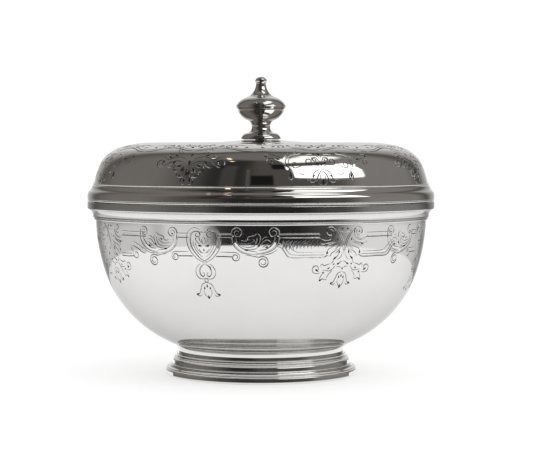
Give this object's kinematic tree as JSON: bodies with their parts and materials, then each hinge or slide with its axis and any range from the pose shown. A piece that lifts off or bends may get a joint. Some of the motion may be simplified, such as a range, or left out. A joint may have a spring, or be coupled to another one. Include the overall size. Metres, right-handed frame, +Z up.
{
  "type": "covered sugar bowl",
  "caption": "Round covered sugar bowl in polished silver: raised bowl on a stepped spreading foot, domed lift-off lid with a turned finial, engraved strapwork bands.",
  "frame": {"origin": "on the bowl's axis, at the surface that the foot stands on", "axes": "+Z up along the bowl's axis; the side seen in the picture faces -Y; X to its right"},
  "size_m": [0.12, 0.12, 0.1031],
  "materials": {
    "bowl_silver": "polished sterling, engraved, light handling wear",
    "foot_silver": "polished sterling, darker in the steps",
    "lid_silver": "polished sterling, engraved, light handling wear",
    "finial_silver": "polished sterling",
    "inner_silver": "planished sterling, softer polish",
    "fixing_silver": "turned silver, dull inside the lid"
  },
  "bodies": {
    "bowl": {"bowl_shell": "bowl_silver", "bowl_rim_moulding": "bowl_silver", "rim_reed_wire": "bowl_silver", "foot_collar": "foot_silver", "foot_skirt": "foot_silver", "foot_base_wire": "foot_silver"},
    "finial": {"finial_base": "finial_silver", "finial_stem": "finial_silver", "finial_cap": "finial_silver", "finial_stud": "fixing_silver", "finial_washer": "fixing_silver", "finial_nut": "fixing_silver"},
    "lid": {"lid_dome": "lid_silver", "lid_rim_moulding": "lid_silver", "lid_edge_wire": "lid_silver", "lid_bezel": "inner_silver"}
  },
  "joints": [
    {"name": "lid_lift", "type": "slide", "parent": "bowl", "child": "finial", "axis": [0, 0, 1], "range_m": [0, 0.08]},
    {"name": "lid_turn", "type": "hinge", "parent": "finial", "child": "lid", "pos_m": [0, 0, 0], "axis": [0, 0, 1], "continuous": true}
  ]
}
